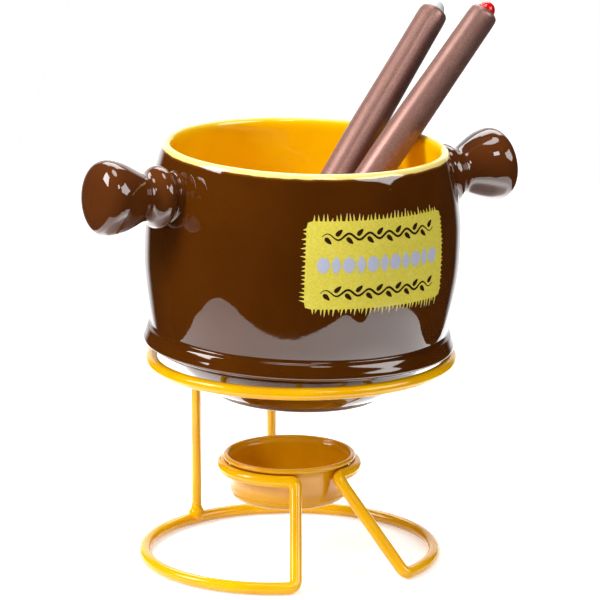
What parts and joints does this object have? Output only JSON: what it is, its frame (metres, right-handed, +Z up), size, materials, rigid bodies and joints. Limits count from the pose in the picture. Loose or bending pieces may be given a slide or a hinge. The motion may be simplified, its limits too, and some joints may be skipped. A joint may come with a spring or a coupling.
{
  "type": "fondue pot set",
  "caption": "Small glazed ceramic fondue pot with two knob handles on a painted wire stand with a hanging burner cup, and two round-handled fondue forks.",
  "frame": {"origin": "on the table, under the middle of the whole set's bounding box; the centre of the stand's top ring is 1.0 mm from it towards -X and 0.2 mm towards +Y", "axes": "+Z up; the front of the set, with the patch and the gap in the stand, faces -Y; the two knob handles point along +X and -X"},
  "size_m": [0.1596, 0.1056, 0.183],
  "materials": {
    "brown_glaze": "glossy dark chocolate-brown glaze outside, glossy yellow-orange glaze inside and on the lip",
    "yellow_paint": "gloss golden-yellow paint on steel wire",
    "cup_paint": "satin golden-yellow paint on pressed sheet steel",
    "mauve_handle": "satin mauve-brown, fine grain",
    "red_tip": "glossy red",
    "white_tip": "glossy milky white, slightly translucent",
    "fork_steel": "brushed stainless steel"
  },
  "bodies": {
    "stand": {"base_wire": "yellow_paint", "top_ring": "yellow_paint", "rear_leg_left": "yellow_paint", "rear_leg_right": "yellow_paint", "weld_bead_foot_left": "yellow_paint", "weld_bead_foot_right": "yellow_paint", "weld_bead_ring_left": "yellow_paint", "weld_bead_ring_right": "yellow_paint"},
    "cup": {"burner_cup": "cup_paint"},
    "pot": {"pot_body": "brown_glaze", "knob_handle_left": "brown_glaze", "knob_handle_right": "brown_glaze"},
    "fork_red": {"fork_red_handle": "mauve_handle", "fork_red_tip": "red_tip", "fork_red_tines": "fork_steel"},
    "fork_white": {"fork_white_handle": "mauve_handle", "fork_white_tip": "white_tip", "fork_white_tines": "fork_steel"}
  },
  "joints": [
    {"name": "pot_lift", "type": "slide", "parent": "stand", "child": "pot", "axis": [0, 0, 1], "range_m": [0, 0.12]},
    {"name": "cup_lift", "type": "slide", "parent": "stand", "child": "cup", "axis": [0, 0, 1], "range_m": [0, 0.018]},
    {"name": "fork_red_pull", "type": "slide", "parent": "pot", "child": "fork_red", "axis": [0.6496, 0.001, 0.7603], "range_m": [0, 0.13]},
    {"name": "fork_white_pull", "type": "slide", "parent": "pot", "child": "fork_white", "axis": [0.6507, 0.1548, 0.7434], "range_m": [0, 0.13]}
  ]
}
